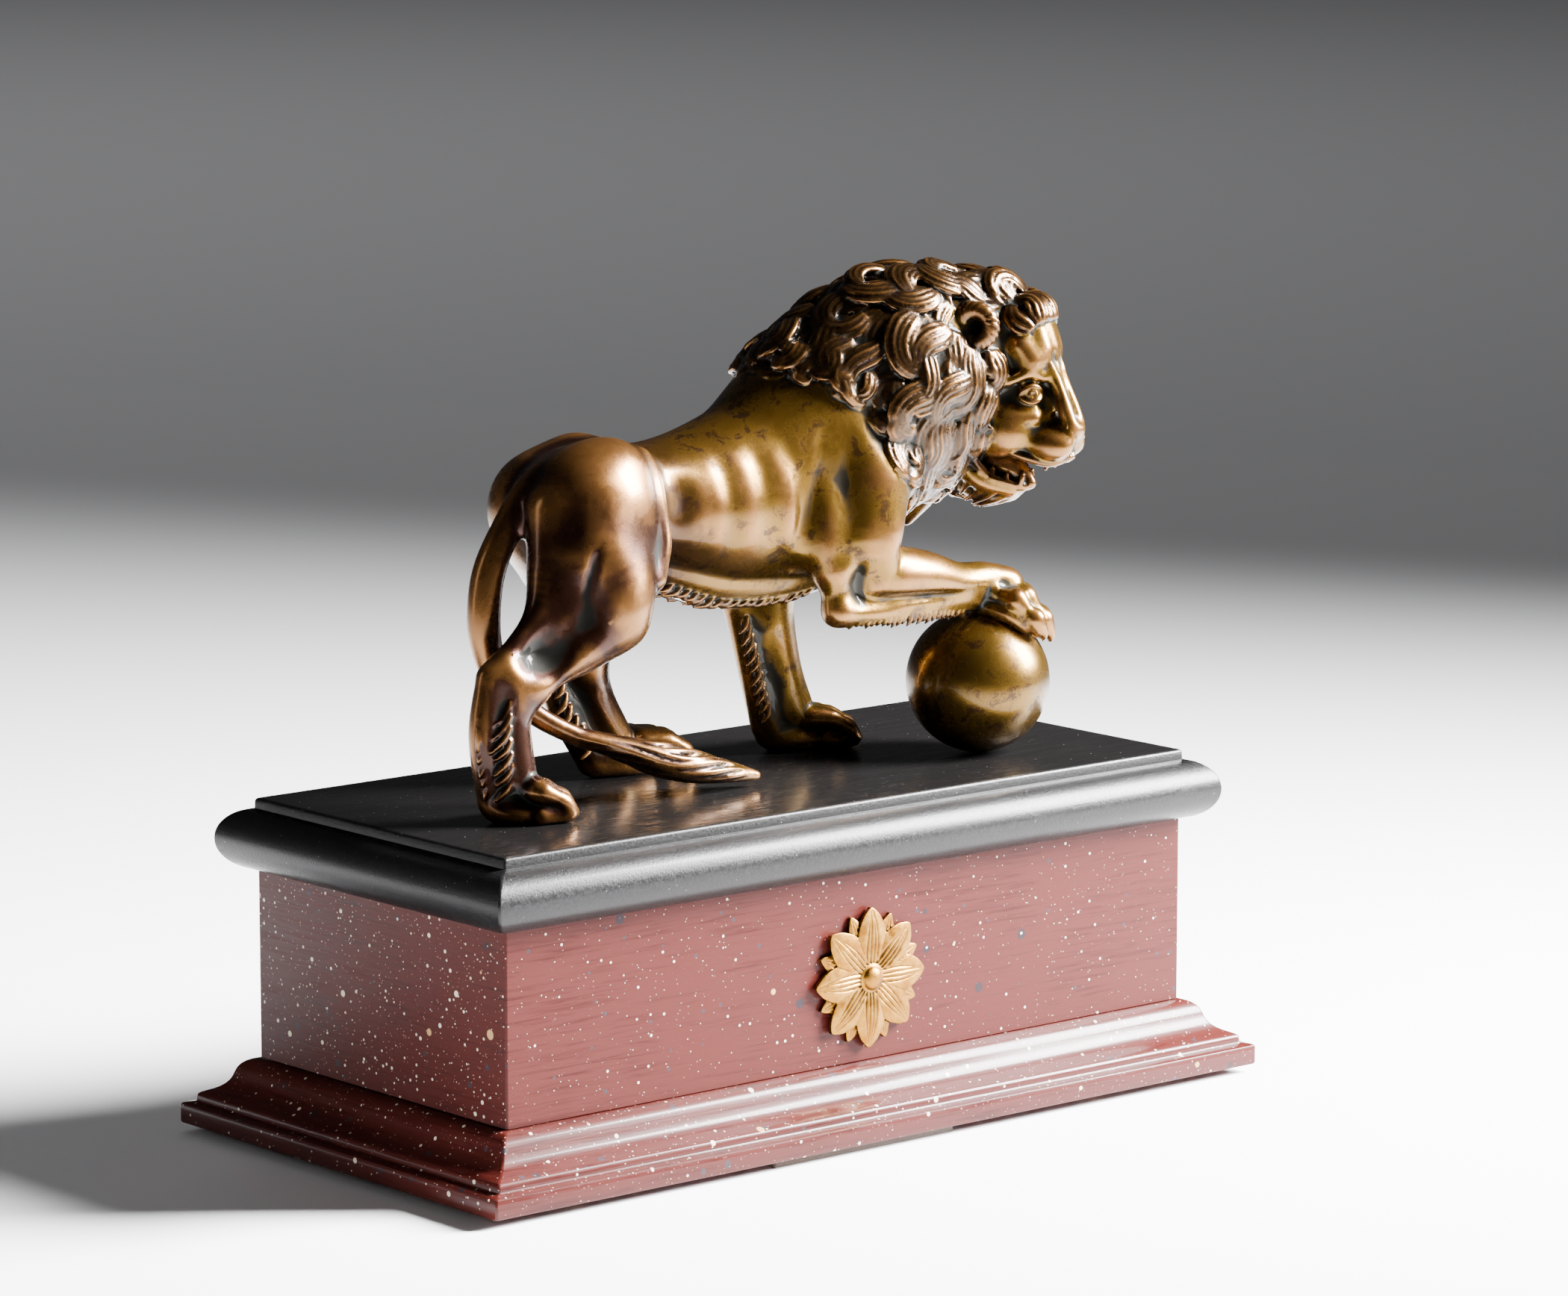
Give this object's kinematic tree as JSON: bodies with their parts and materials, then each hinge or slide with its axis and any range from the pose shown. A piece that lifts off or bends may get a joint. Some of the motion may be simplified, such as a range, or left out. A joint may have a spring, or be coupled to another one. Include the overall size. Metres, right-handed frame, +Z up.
{
  "type": "lion statue on a plinth",
  "caption": "Standing bronze lion with turned head and one forepaw on a ball, on a painted rectangular wooden plinth with a gilt rosette.",
  "frame": {"origin": "middle of the footprint, on the surface that the plinth stands on", "axes": "+X the way the lion's body faces along the plinth's length, +Y to the lion's left, +Z up"},
  "size_m": [0.3, 0.155, 0.2574],
  "materials": {
    "bronze": "brown patinated bronze, waxed, worn to gold on the high points",
    "ball_bronze": "golden brown patinated bronze, blotched",
    "black_lacquered_wood": "ebonised, satin, open pored on top",
    "painted_wood": "painted to imitate porphyry, speckled and varnished",
    "gilt_brass": "dull gilt",
    "felt": "felt"
  },
  "bodies": {
    "root": {"lion": "bronze", "ball": "ball_bronze", "plinth_cap": "black_lacquered_wood", "plinth_die": "painted_wood", "plinth_base": "painted_wood", "rosette": "gilt_brass", "felt_front": "felt", "felt_back": "felt", "felt_right_end": "felt", "felt_left_end": "felt"}
  },
  "joints": []
}
